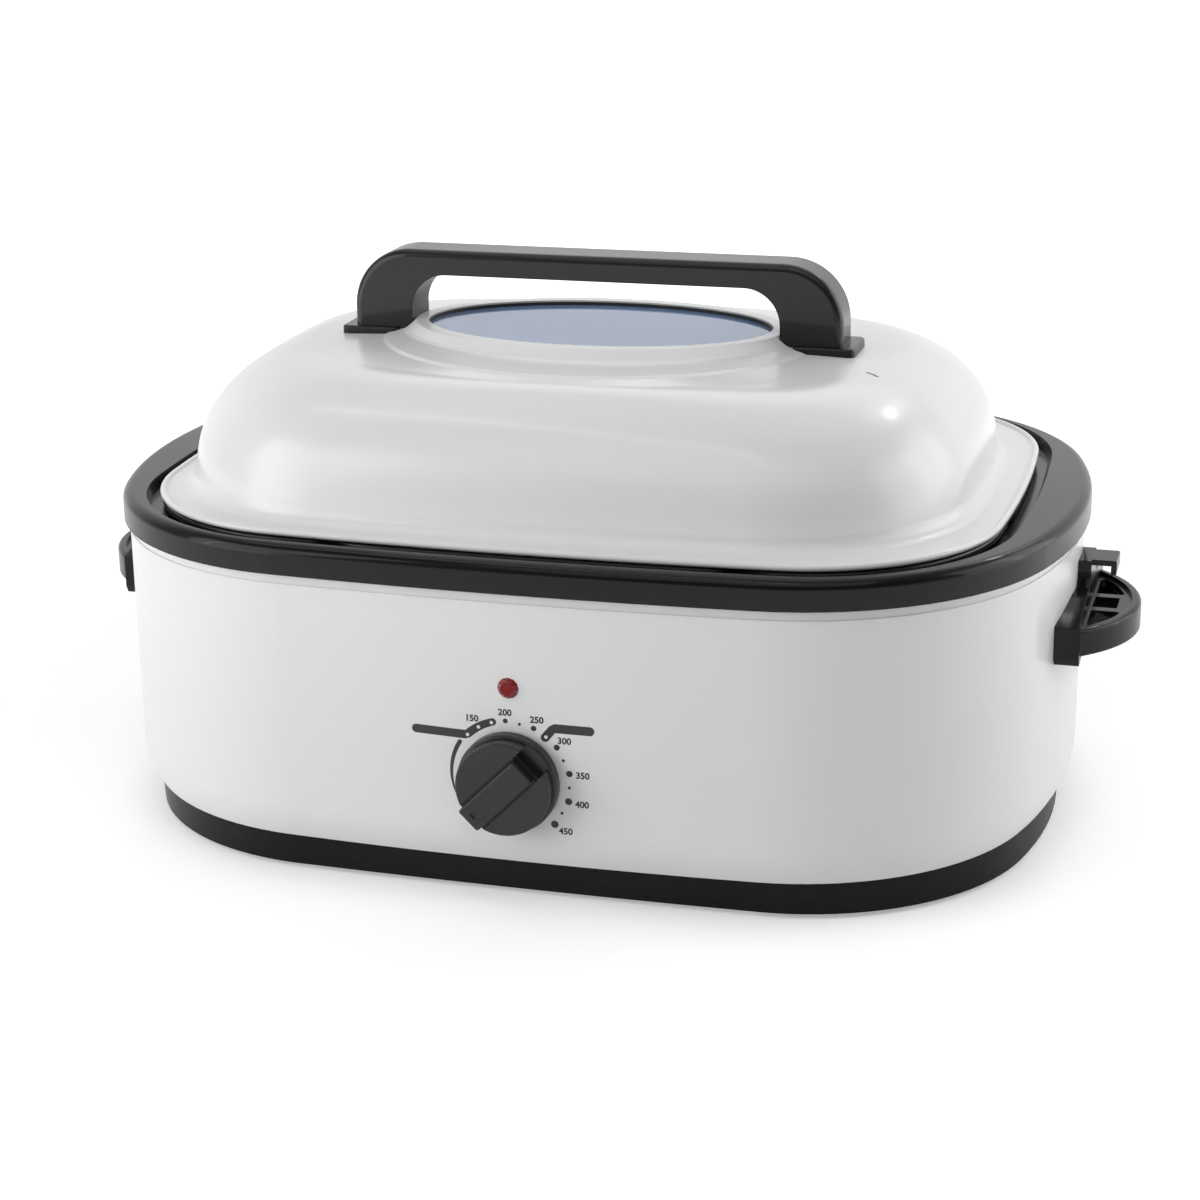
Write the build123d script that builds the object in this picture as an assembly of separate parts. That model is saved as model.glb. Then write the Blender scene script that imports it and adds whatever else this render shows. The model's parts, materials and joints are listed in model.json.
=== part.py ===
from build123d import *

import os
from dataclasses import astuple, dataclass
from math import asin, cos, pi, radians, sin, sqrt, tan

os.makedirs("parts", exist_ok=True)

# ---------------------------------------------------------------------------
# An electric roaster oven. Millimetres, +Z up, +X along the body, front at -Y.
# The origin is on the table, in the middle of the whole footprint.
# Every shape is drawn about the middle of the oval body, and export moves it
# back by CENTRE_SHIFT, because the knob makes the front reach further out.
# ---------------------------------------------------------------------------

# Overall size
LENGTH = 592.0  # over the two side handles
DEPTH = 398.0  # from the knob's front to the rim's back
HEIGHT = 305.0  # table to the top of the lid handle

# Heights above the table
SKIRT_BOTTOM = 3.0
SEAM = 23.0  # black base meets white body
RIM_BOTTOM = 169.5
RIM_TOP = 185.5
LEDGE = 179.5  # groove floor that the pan's bead lies on
WELL_FLOOR = 38.0
PAN_FLOOR = 46.0
FLANGE_BOTTOM = 185.1
DOME_FOOT = 187.4
DOME_SHOULDER = 256.3
LID_TOP = 266.2

# Sheet thicknesses
BODY_SHEET = 0.9
WELL_SHEET = 0.9
PAN_SHEET = 0.9
LID_SHEET = 0.9
BASE_WALL = 2.5


@dataclass(frozen=True)
class Oval:
    """A long rounded outline: bowed sides, rounder ends and a tangent corner arc."""

    half_length: float
    half_width: float
    side_radius: float
    end_radius: float
    corner_radius: float

    def inset(self, distance):
        """The same outline moved inwards everywhere by one distance."""
        return Oval(*(value - distance for value in astuple(self)))

    def blend(self, other, share):
        """An outline part of the way from this one to another."""
        pairs = zip(astuple(self), astuple(other))
        return Oval(*(mine + (theirs - mine) * share for mine, theirs in pairs))

    def quarter(self):
        """Where the arcs of the back right quarter meet, and the corner arc's middle."""
        side_centre = Vector(0, self.half_width - self.side_radius)
        end_centre = Vector(self.half_length - self.end_radius, 0)
        to_side = self.side_radius - self.corner_radius
        to_end = self.end_radius - self.corner_radius
        between = end_centre - side_centre
        span = between.length
        along = (span**2 + to_side**2 - to_end**2) / (2 * span)
        aside = sqrt(to_side**2 - along**2)
        ahead = between.normalized()
        corner = side_centre + ahead * along + Vector(ahead.Y, -ahead.X) * aside
        from_side = (corner - side_centre).normalized()
        from_end = (corner - end_centre).normalized()
        side_end = corner + from_side * self.corner_radius
        end_end = corner + from_end * self.corner_radius
        middle = corner + (from_side + from_end).normalized() * self.corner_radius
        return side_end, middle, end_end

    def wire(self, height):
        side_end, middle, end_end = self.quarter()

        def at(point, x_sign, y_sign):
            return Vector(x_sign * point.X, y_sign * point.Y, height)

        side = Vector(0, self.half_width)
        end = Vector(self.half_length, 0)
        arcs = [
            (at(side_end, -1, -1), at(side, 1, -1), at(side_end, 1, -1)),
            (at(side_end, 1, -1), at(middle, 1, -1), at(end_end, 1, -1)),
            (at(end_end, 1, -1), at(end, 1, 1), at(end_end, 1, 1)),
            (at(end_end, 1, 1), at(middle, 1, 1), at(side_end, 1, 1)),
            (at(side_end, 1, 1), at(side, 1, 1), at(side_end, -1, 1)),
            (at(side_end, -1, 1), at(middle, -1, 1), at(end_end, -1, 1)),
            (at(end_end, -1, 1), at(end, -1, 1), at(end_end, -1, -1)),
            (at(end_end, -1, -1), at(middle, -1, -1), at(side_end, -1, -1)),
        ]
        return Wire([ThreePointArc(*points) for points in arcs])


# The outlines that everything is worked out from
RIM = Oval(266.3, 192.0, 1930, 298, 143)
BODY = RIM.inset(3.0)
BASE = Oval(254.2, 173.0, 3990, 306, 129)  # foot of the black base
BASE_UPPER = RIM.inset(11.0)  # where the base disappears under the body
LID = Oval(232.7, 176.5, 2030, 1100, 104.7)  # outer edge of the lid's flange
DOME_LINE = Oval(214.5, 156.0, 2010, 1100, 105)  # foot of the dome's wall
SHOULDER = Oval(163.0, 105.0, 260, 600, 78)  # where the dome's wall turns flat

GROOVE_TOP = LID.inset(-7.5)
GROOVE_FOOT = LID.inset(-5.0)
WELL_MOUTH = LID.inset(4.6)
WELL_BASE = LID.inset(13.0)

FRONT = -BODY.half_width
KNOB_FRONT = RIM.half_width - DEPTH
CENTRE_SHIFT = -(RIM.half_width + KNOB_FRONT) / 2


def loft_levels(levels, ruled=True):
    """A solid through outlines at heights, given as (height, outline)."""
    return Solid.make_loft([oval.wire(height) for height, oval in levels], ruled)


def slab(oval, low, high):
    return loft_levels([(low, oval), (high, oval)])


def block(x_range, y_range, z_range):
    """A box between two corners."""
    low = Vector(x_range[0], y_range[0], z_range[0])
    size = Vector(x_range[1], y_range[1], z_range[1]) - low
    return Pos(*low) * Box(*size, align=(Align.MIN, Align.MIN, Align.MIN))


def upright(radius, x, y, low, high):
    """A round bar along Z."""
    bar = Cylinder(radius, high - low, align=(Align.CENTER, Align.CENTER, Align.MIN))
    return Pos(x, y, low) * bar


def forward(radius, x, z, near, far):
    """A round bar along Y, from y = near to y = far."""
    bar = Cylinder(radius, far - near, align=(Align.CENTER, Align.CENTER, Align.MIN))
    return Pos(x, near, z) * Rot(-90, 0, 0) * bar


def sideways(radius, y, z, near, far):
    """A round bar along X, from x = near to x = far."""
    bar = Cylinder(radius, far - near, align=(Align.CENTER, Align.CENTER, Align.MIN))
    return Pos(near, y, z) * Rot(0, 90, 0) * bar


def bead(oval, height, radius):
    """A round bar that follows an outline."""
    path = oval.wire(height)
    return sweep(Plane(origin=path @ 0, z_dir=path % 0) * Circle(radius), path=path)


def rod(points, radius, bend):
    """A bent wire through points, with one radius at every corner."""
    path = FilletPolyline(*points, radius=bend)
    return sweep(Plane(origin=path @ 0, z_dir=path % 0) * Circle(radius), path=path)


def both_ways(points):
    """The points and their mirror images in X and Y."""
    return [(sx * x, sy * y) for x, y in points for sx in (-1, 1) for sy in (-1, 1)]


def ellipse_slab(half_length, half_width, low, high):
    return Pos(0, 0, low) * extrude(Ellipse(half_length, half_width), high - low)


def group(pieces):
    """Separate solids kept in one node."""
    solids = [solid for piece in pieces for solid in piece.solids()]
    return Compound(solids)


def save(name, shape):
    export_step(Pos(0, CENTRE_SHIFT, 0) * shape, f"parts/{name}.step")


# ---------------------------------------------------------------------------
# Body: base, feet, white shell
# ---------------------------------------------------------------------------

ROLL_START = 42.0  # the body's wall starts to roll in below this height
ROLL_INSET = 6.0
LINE_DEPTH = 0.7  # pressed line round the wall, under the rim
LINE_BOTTOM, LINE_TOP = 164.0, 167.6
SHELL_TOP = 176.0
FLANGE_WIDTH = 10.0

KNOB_Z = 70.0
LAMP_Z = 119.5
LAMP_HOLE = 5.4
SHAFT_HOLE = 5.0
GLAND_X, GLAND_Z, GLAND_HOLE = 120.0, 50.0, 8.0
HANDLE_SCREW_Y, HANDLE_SCREW_Z = 24.0, 119.0
HANDLE_SCREW_END = 269.0
SCREW_HOLE = 2.2
SCREW_SHANK = 2.0


def pressed_line(inset):
    """What the pressed line takes off the wall's outside, or off a layer inside it."""
    low, high = LINE_BOTTOM - inset, LINE_TOP + inset
    return slab(BODY.inset(inset - 1), low, high) - slab(BODY.inset(inset + LINE_DEPTH), low - 1, high + 1)


def body_solid(inset):
    """The body's whole outside, less an even thickness."""
    oval = BODY.inset(inset)
    drop = ROLL_START - SEAM
    radius = (drop**2 + ROLL_INSET**2) / (2 * ROLL_INSET)
    roll = []
    for share in (1, 0.75, 0.5, 0.25, 0):
        low = drop * share
        roll.append((ROLL_START - low, oval.inset(radius - sqrt(radius**2 - low**2))))
    solid = loft_levels(roll, ruled=False) + slab(oval, ROLL_START, SHELL_TOP)
    return solid - pressed_line(inset)


def outer_shell():
    shell = body_solid(0) - body_solid(BODY_SHEET)
    seam = BODY.inset(ROLL_INSET)
    flange = slab(seam.inset(0.4), SEAM, SEAM + BODY_SHEET)
    shell += flange - slab(seam.inset(FLANGE_WIDTH), SEAM - 1, SEAM + 3)
    shell -= forward(SHAFT_HOLE, 0, KNOB_Z, FRONT - 5, FRONT + 12)
    shell -= forward(LAMP_HOLE, 0, LAMP_Z, FRONT - 5, FRONT + 12)
    shell -= forward(GLAND_HOLE, GLAND_X, GLAND_Z, -FRONT - 12, -FRONT + 5)
    for side in (-HANDLE_SCREW_Y, HANDLE_SCREW_Y):
        shell -= sideways(SCREW_HOLE, side, HANDLE_SCREW_Z, -280, -240)
        shell -= sideways(SCREW_HOLE, side, HANDLE_SCREW_Z, 240, 280)
    return shell


PLATE_BOTTOM = 8.5
PLATE_THICK = 0.9
PLATE_TOP = PLATE_BOTTOM + PLATE_THICK
LEDGE_WIDTH = 14.0
SCREW_PLACES = [(-244.0, 0.0), (244.0, 0.0)] + both_ways([(120.0, 163.0)])
FOOT_PLACES = both_ways([(185.0, 112.0)])
STUD_PLACES = both_ways([(140.0, 85.0)])


def base_skirt():
    outside = loft_levels([(SKIRT_BOTTOM, BASE), (SEAM, BASE_UPPER)])
    hollow = loft_levels(
        [(SKIRT_BOTTOM, BASE.inset(BASE_WALL)), (SEAM, BASE_UPPER.inset(BASE_WALL))]
    )
    ledge = slab(BASE.inset(BASE_WALL - 1), 6.0, PLATE_BOTTOM)
    ledge -= slab(BASE.inset(LEDGE_WIDTH), 5, 10)
    skirt = outside - hollow + ledge
    for x, y in SCREW_PLACES:
        skirt -= upright(SCREW_HOLE, x, y, 4, 12)
    return skirt


def bottom_plate():
    plate = slab(BASE.inset(BASE_WALL + 1.5), PLATE_BOTTOM, PLATE_TOP)
    for row in (-45, -15, 15, 45):
        for column in range(-2, 3):
            slot = SlotOverall(34, 5)
            plate -= Pos(column * 46, row, PLATE_BOTTOM - 1) * extrude(slot, 4)
    for x, y in SCREW_PLACES + STUD_PLACES:
        plate -= upright(SCREW_HOLE, x, y, 4, 12)
    return plate


def base_screws():
    screws = []
    for x, y in SCREW_PLACES:
        head = upright(3.8, x, y, 3.6, 6.0)
        head -= Pos(x, y, 3.6) * Box(5.0, 1.0, 1.6) + Pos(x, y, 3.6) * Box(1.0, 5.0, 1.6)
        screws.append(head + upright(SCREW_SHANK, x, y, 5.9, PLATE_TOP + 5))
    return group(screws)


def feet():
    pads = []
    for x, y in FOOT_PLACES:
        pad = Pos(x, y, 0) * Cone(11.5, 14.0, PLATE_BOTTOM, align=(Align.CENTER, Align.CENTER, Align.MIN))
        pad = fillet(pad.edges().group_by(Axis.Z)[0], 1.2)
        pad -= upright(4.5, x, y, -1, 3.5)
        pads.append(pad)
    return group(pads)


def well_studs():
    studs = []
    for x, y in STUD_PLACES:
        post = upright(4.0, x, y, PLATE_TOP, WELL_FLOOR - WELL_SHEET)
        nut = Pos(x, y, PLATE_BOTTOM - 3.2) * extrude(RegularPolygon(4.2, 6), 3.2)
        studs.append(post + upright(SCREW_SHANK, x, y, PLATE_BOTTOM - 4, PLATE_TOP + 1) + nut)
    return group(studs)


# ---------------------------------------------------------------------------
# Heating well with its rim, pan and rack
# ---------------------------------------------------------------------------

RIM_ROUND = 5.5
WELL_BEND = 22.0


def well_bowl(extra, low, high):
    """The tapered bowl below the groove, grown outwards by extra."""
    bowl = loft_levels([(low, WELL_BASE.inset(-extra)), (high, WELL_MOUTH.inset(-extra))])
    return fillet(bowl.edges().group_by(Axis.Z)[0], WELL_BEND + extra)


def heating_well():
    sheet = WELL_SHEET
    crown = slab(RIM, RIM_BOTTOM, RIM_TOP)
    crown = fillet(crown.edges().group_by(Axis.Z)[-1], RIM_ROUND)
    under = slab(RIM.inset(sheet), RIM_BOTTOM - 1, RIM_TOP - sheet)
    under = fillet(under.edges().group_by(Axis.Z)[-1], RIM_ROUND - sheet)
    groove_outside = loft_levels(
        [(LEDGE - sheet, GROOVE_FOOT.inset(-sheet)), (RIM_TOP, GROOVE_TOP.inset(-sheet))]
    )
    groove = loft_levels([(LEDGE, GROOVE_FOOT), (RIM_TOP + 0.01, GROOVE_TOP)])
    bowl_outside = well_bowl(sheet, WELL_FLOOR - sheet, LEDGE)
    bowl = well_bowl(0, WELL_FLOOR, LEDGE + 0.5)
    return (crown - under) + groove_outside + bowl_outside - groove - bowl


PAN_BEAD = 2.5
PAN_BEAD_LINE = LID.inset(3.6)
PAN_MOUTH = LID.inset(5.9)
PAN_BASE = LID.inset(16.0)
PAN_BEND = 18.0
PAN_BEAD_Z = LEDGE + PAN_BEAD + 0.3


def roasting_pan():
    top = PAN_BEAD_Z + 1.6
    outside = loft_levels([(PAN_FLOOR, PAN_BASE), (top, PAN_MOUTH)])
    outside = fillet(outside.edges().group_by(Axis.Z)[0], PAN_BEND)
    inside = loft_levels(
        [(PAN_FLOOR + PAN_SHEET, PAN_BASE.inset(PAN_SHEET)), (top, PAN_MOUTH.inset(PAN_SHEET))]
    )
    inside = fillet(inside.edges().group_by(Axis.Z)[0], PAN_BEND - PAN_SHEET)
    return outside + bead(PAN_BEAD_LINE, PAN_BEAD_Z, PAN_BEAD) - inside


RACK_RING = LID.inset(30.0)
RACK_Z = 62.0
RACK_WIRE = 2.5
BAR_WIRE = 2.3
FOOT_WIRE = 2.0
CROSS_WIRE = 1.6
RACK_BAR_X = 120.0
RACK_FOOT_Y = 120.0
RACK_GRIP_Z = 142.0
LOOP_HALF = 57.5


def rack_frame():
    """A ring with two bars across it, each with a bent foot that stands on the pan's floor."""
    frame = bead(RACK_RING, RACK_Z, RACK_WIRE)
    foot_z = PAN_FLOOR + PAN_SHEET + 0.4 + FOOT_WIRE
    bar_reach = RACK_RING.half_width - 4
    for x in (-RACK_BAR_X, RACK_BAR_X):
        foot = [
            (x, -RACK_FOOT_Y, RACK_Z),
            (x, -RACK_FOOT_Y, foot_z),
            (x, RACK_FOOT_Y, foot_z),
            (x, RACK_FOOT_Y, RACK_Z),
        ]
        frame += forward(BAR_WIRE, x, RACK_Z, -bar_reach, bar_reach)
        frame += rod(foot, FOOT_WIRE, 8)
    return frame


def rack_wires():
    """Long wires that lie on the frame."""
    wires = []
    height = RACK_Z + RACK_WIRE + CROSS_WIRE
    for step in range(-5, 6):
        y = step * 23.0
        reach = RACK_RING.half_length - 2 - 14 * (abs(step) / 5) ** 3
        wires.append(sideways(CROSS_WIRE, y, height, -reach, reach))
    return group(wires)


def rack_handles():
    """A bent loop at each end that reaches up to just under the pan's rim."""
    loops = []
    for side in (-1, 1):
        foot = side * (RACK_RING.half_length - 1.6)
        top = side * (RACK_RING.half_length + 6)
        foot_z = RACK_Z + RACK_WIRE + 0.3
        loops.append(
            rod(
                [
                    (foot, -LOOP_HALF, foot_z),
                    (top, -LOOP_HALF, RACK_GRIP_Z),
                    (top, LOOP_HALF, RACK_GRIP_Z),
                    (foot, LOOP_HALF, foot_z),
                ],
                FOOT_WIRE,
                12,
            )
        )
    return group(loops)


# ---------------------------------------------------------------------------
# Lid: domed sheet, window, handle
# ---------------------------------------------------------------------------

LID_BEAD = 1.8
ON_DOME = Pos(-4.0, 0, 0)  # the dome and all it carries stand a little left of the flange's middle
FOOT_ROUND = 8.0  # hollow round between the dome and its flange
FOOT_LEAD = radians(12)  # slope at which the hollow round leaves the flange
FOOT_STEPS = 4
CROWN_STEPS = 7
# A fuller curve than a quarter ellipse: powers of its rise and of its run
RISE_POWER = 0.8
RUN_POWER = 1.35
WINDOW = (97.0, 58.0)
# Ovals up the top of the lid: half length, half width, height, round on its edge if any
TERRACES = [
    (121.0, 101.0, 257.9, 1.5),
    (118.6, 98.6, 259.0, 1.6),
    (111.0, 74.0, 260.8, 2.0),
    (109.0, 71.5, 262.0, 1.2),
    (104.2, 66.0, 266.2, 1.2),
]


def dome_outline(angle, inset):
    """The dome's outline at an angle of its curve, 0 at the foot and 90 degrees at the shoulder."""
    return DOME_LINE.blend(SHOULDER, 1 - cos(angle) ** RUN_POWER).inset(inset)


def dome_wall(inset):
    """The dome up to its shoulder: a short lead-in, the hollow round, and the full curve."""
    base = DOME_FOOT - inset
    rise = DOME_SHOULDER - DOME_FOOT
    bend = FOOT_ROUND + inset
    foot = []
    for step in range(FOOT_STEPS + 1):
        turn = FOOT_LEAD + (pi / 2 - FOOT_LEAD) * step / FOOT_STEPS
        up = bend * (1 - cos(turn))
        angle = asin((up / rise) ** (1 / RISE_POWER))
        foot.append((base + up, dome_outline(angle, inset - bend * (1 - sin(turn)))))
    first_height, first_outline = foot[0]
    drop = 0.6
    lead = [(first_height - drop, first_outline.inset(-drop / tan(FOOT_LEAD))), foot[0]]
    start = asin((bend / rise) ** (1 / RISE_POWER))
    crown = []
    for step in range(CROWN_STEPS + 1):
        angle = start + (pi / 2 - start) * step / CROWN_STEPS
        crown.append((base + rise * sin(angle) ** RISE_POWER, dome_outline(angle, inset)))
    return loft_levels(lead) + loft_levels(foot, ruled=False) + loft_levels(crown, ruled=False)


def lid_top(inset):
    """The nearly flat top: from the shoulder over two pressed steps to the lip round the window."""
    low = DOME_SHOULDER - inset
    rings = [make_face(SHOULDER.inset(inset).wire(low)).wire()]
    for half_length, half_width, height, _ in TERRACES:
        oval = Ellipse(half_length - inset, half_width - inset)
        rings.append((Pos(0, 0, height - inset) * oval).wire())
    top = None
    for lower, upper in zip(rings, rings[1:]):
        ring = Solid.make_loft([lower, upper], True)
        top = ring if top is None else top + ring
    for _, _, height, bend in TERRACES:
        if bend:
            level = height - inset
            top = fillet(top.edges().filter_by_position(Axis.Z, level - 0.01, level + 0.01), bend)
    return top


def lid_solid(inset):
    """The space under the dome's outside, less an even thickness."""
    return dome_wall(inset) + lid_top(inset)


VENT_X, VENT_Y = 160.0, -46.0


def lid_shell():
    flange_low = DOME_FOOT - LID_SHEET
    shell = ON_DOME * lid_solid(0) & slab(LID, flange_low, HEIGHT)
    shell += slab(LID.inset(LID_BEAD), flange_low, DOME_FOOT)
    shell += bead(LID.inset(LID_BEAD), FLANGE_BOTTOM + LID_BEAD, LID_BEAD)
    shell -= ON_DOME * lid_solid(LID_SHEET)
    shell -= ON_DOME * ellipse_slab(*WINDOW, 250, 280)
    for x, y in LID_SCREW_PLACES:
        shell -= ON_DOME * upright(SCREW_HOLE, x, y, 250, 280)
    vent = Pos(VENT_X, VENT_Y, 240) * Rot(0, 0, -35) * extrude(SlotOverall(9, 2.2), 30)
    return shell - ON_DOME * vent


GLASS_TOP = 263.6
GLASS_THICK = 3.2


def window_glass():
    glass = ellipse_slab(101.0, 62.0, GLASS_TOP - GLASS_THICK, GLASS_TOP)
    return fillet(glass.edges(), 0.6)


def window_gasket():
    """A rubber channel round the glass, squeezed under the lid's lip."""
    seal = ellipse_slab(103.0, 64.0, GLASS_TOP - GLASS_THICK - 1.4, LID_TOP - LID_SHEET)
    seal -= ellipse_slab(96.0, 57.0, 250, 280)
    return seal - ellipse_slab(101.0, 62.0, GLASS_TOP - GLASS_THICK, GLASS_TOP)


def window_ring():
    """A steel ring with an upturned edge that holds the seal from below."""
    low = GLASS_TOP - GLASS_THICK - 2.6
    ring = ellipse_slab(105.4, 66.4, low, low + 5.0)
    ring -= ellipse_slab(104.2, 65.2, low + 1.2, 280)
    return ring - ellipse_slab(97.0, 58.0, 250, 280)


HANDLE_HALF = 138.0  # outer face of a leg
LEG_INNER = 104.0
BAR_UNDER = 291.5
HANDLE_DEPTH = 14.0  # half of its width in Y
FOOT_LEDGE_TOP = 261.6
OUTER_BEND = 33.0
INNER_BEND = 20.0
LEG_BOTTOM = 256.0
LID_SCREW_PLACES = both_ways([(123.0, 6.5)])


def arch(half, top, bend):
    """An upright arch outline in the XZ plane, with rounded shoulders."""
    with BuildSketch(Plane.XZ) as sketch:
        with BuildLine():
            FilletPolyline(
                (-half, LEG_BOTTOM), (-half, top), (half, top), (half, LEG_BOTTOM), radius=bend
            )
            Line((half, LEG_BOTTOM), (-half, LEG_BOTTOM))
        make_face()
    return sketch.sketch


def lid_handle():
    bar = extrude(arch(HANDLE_HALF, HEIGHT, OUTER_BEND), HANDLE_DEPTH, both=True)
    bar = fillet(bar.edges().filter_by(Axis.Y, reverse=True).filter_by(lambda e: e.center().Z > 258), 4)
    bar -= extrude(arch(LEG_INNER, BAR_UNDER, INNER_BEND), HANDLE_DEPTH + 1, both=True)
    for side in (-1, 1):
        ledge = extrude(RectangleRounded(34, 2 * HANDLE_DEPTH + 7, 4), FOOT_LEDGE_TOP - LEG_BOTTOM)
        ledge = fillet(ledge.edges().group_by(Axis.Z)[-1], 1.5)
        bar += Pos(side * (HANDLE_HALF - 10), 0, LEG_BOTTOM) * ledge
    bar -= lid_solid(0)
    for x, y in LID_SCREW_PLACES:
        bar -= upright(SCREW_SHANK + 0.05, x, y, 250, 281)
    return bar


def lid_handle_screws():
    screws = []
    for x, y in LID_SCREW_PLACES:
        head = upright(4.0, x, y, 253.4, 255.8)
        head -= Pos(x, y, 253.4) * Box(5.2, 1.0, 1.6) + Pos(x, y, 253.4) * Box(1.0, 5.2, 1.6)
        screws.append(head + upright(SCREW_SHANK, x, y, 255.7, 278))
    return group(screws)


def lid_handle_washers():
    """Thick washers whose tops follow the sheet above them."""
    washers = []
    for x, y in LID_SCREW_PLACES:
        washer = upright(5.6, x, y, 255.8, 270) & lid_solid(LID_SHEET)
        washers.append(washer - upright(SCREW_HOLE, x, y, 250, 280))
    return group(washers)


# ---------------------------------------------------------------------------
# Side handles
# ---------------------------------------------------------------------------

GRIP_TOP = 128.0
GRIP_BOTTOM = 113.5
GRIP_HALF = 62.0
GRIP_ROOT = 256.0
HOOK_TOP = 152.5
HOOK_REACH = 283.0


def grip_outline(inset):
    """The grip seen from above: one arc from corner to corner, closed inside the wall."""
    half = GRIP_HALF - inset
    with BuildSketch() as sketch:
        with BuildLine():
            ThreePointArc((261, -half), (LENGTH / 2 - inset, 0), (261, half))
            Polyline((261, half), (GRIP_ROOT, half), (GRIP_ROOT, -half), (261, -half))
        make_face()
    return sketch.sketch


def mounting_plate():
    """The plate against the wall: a stem for the hook and a wing at each side."""
    with BuildSketch(Plane.YZ) as sketch:
        with BuildLine():
            Polyline((16, GRIP_BOTTOM), (60, GRIP_BOTTOM - 4), (62, GRIP_BOTTOM), (62, 131))
            Spline((62, 131), (44, 135.5), (28, 138.5))
            Polyline((28, 138.5), (17, 138.5), (13, 143), (13, HOOK_TOP), (0, HOOK_TOP))
            Polyline((0, HOOK_TOP), (0, GRIP_BOTTOM), (16, GRIP_BOTTOM))
        make_face()
        mirror(about=Plane.YZ)
    return sketch.sketch


def side_handle():
    """The right-hand handle."""
    grip = Pos(0, 0, GRIP_BOTTOM) * extrude(grip_outline(0), GRIP_TOP - GRIP_BOTTOM)
    corners = grip.edges().filter_by(Axis.Z).group_by(Axis.X)[-1]
    grip = fillet(corners, 4)
    grip = fillet(grip.edges().group_by(Axis.Z)[-1].group_by(Axis.X)[1:], 2.4)
    grip -= Pos(0, 0, GRIP_TOP - 2) * extrude(grip_outline(5), 5)
    grip -= Pos(0, 0, GRIP_BOTTOM - 1) * extrude(grip_outline(3.5), 9.5)
    rib = extrude(grip_outline(3.5) & (Pos(273.5, 0) * Rectangle(27, 26)), GRIP_TOP - GRIP_BOTTOM - 4)
    grip += Pos(0, 0, GRIP_BOTTOM) * rib
    plate = Pos(GRIP_ROOT, 0, 0) * extrude(mounting_plate(), 270 - GRIP_ROOT)
    handle = grip + plate
    handle -= block((271, 284), (-9, 9), (100, 132))
    for side in (-1, 1):
        pocket = extrude(grip_outline(8) & (Pos(279, side * 36) * Rectangle(16, 42)), 40)
        pocket = fillet(pocket.edges().filter_by(Axis.Z), 2)
        handle -= Pos(0, 0, 100) * pocket
    hook = block((262, HOOK_REACH), (-10, 10), (HOOK_TOP - 3, HOOK_TOP))
    hook += block((HOOK_REACH - 3, HOOK_REACH), (-10, 10), (HOOK_TOP - 8, HOOK_TOP))
    handle += fillet(hook.edges().filter_by(Axis.Y).filter_by(lambda e: e.center().X > 282), 1.2)
    handle -= slab(BODY, 90, 176)
    for side in (-HANDLE_SCREW_Y, HANDLE_SCREW_Y):
        handle -= sideways(SCREW_SHANK + 0.05, side, HANDLE_SCREW_Z, 250, HANDLE_SCREW_END + 0.2)
    return handle


def handle_brackets():
    """Curved steel plates inside the wall that spread the handles' load."""
    wall = BODY.inset(BODY_SHEET + 0.05)
    band = slab(wall, 112, 127) - slab(wall.inset(1.5), 111, 128)
    plates = []
    for side in (-1, 1):
        plate = band & block(sorted((side * 200, side * 280)), (-38, 38), (110, 130))
        for y in (-HANDLE_SCREW_Y, HANDLE_SCREW_Y):
            plate -= sideways(SCREW_HOLE, y, HANDLE_SCREW_Z, -280, 280)
        plates.append(plate)
    return group(plates)


def side_handle_screws():
    """Screws from inside the wall, through the bracket, into the handle."""
    screws = []
    start = 257.2
    for y in (-HANDLE_SCREW_Y, HANDLE_SCREW_Y):
        head = sideways(3.8, y, HANDLE_SCREW_Z, start, start + 2.2)
        screw = head + sideways(SCREW_SHANK, y, HANDLE_SCREW_Z, start + 2, HANDLE_SCREW_END)
        screws += [screw, mirror(screw, about=Plane.YZ)]
    return group(screws)


# ---------------------------------------------------------------------------
# Control knob, lamp and the parts behind them
# ---------------------------------------------------------------------------

KNOB_RADIUS = 26.4
SKIRT_THICK = 6.2
PLATEAU_RADIUS = 24.8
PLATEAU_HEIGHT = 13.8
BAR_TIP = 25.2
BAR_TAIL = -16.5
BAR_WIDTH = 14.0
BAR_GROOVE = 1.2
KNOB_BACK = FRONT - 0.8
KNOB_REST = 225.0  # the pointer's direction at the lowest mark, anticlockwise from +X
SHAFT_RADIUS = 3.0
SHAFT_FLAT = 2.0


def knob_place(shape):
    """Stands a shape drawn flat, pointer along +X, on the front of the body at rest."""
    return Pos(0, KNOB_BACK, KNOB_Z) * Rot(90, 0, 0) * Rot(0, 0, KNOB_REST) * shape


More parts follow.
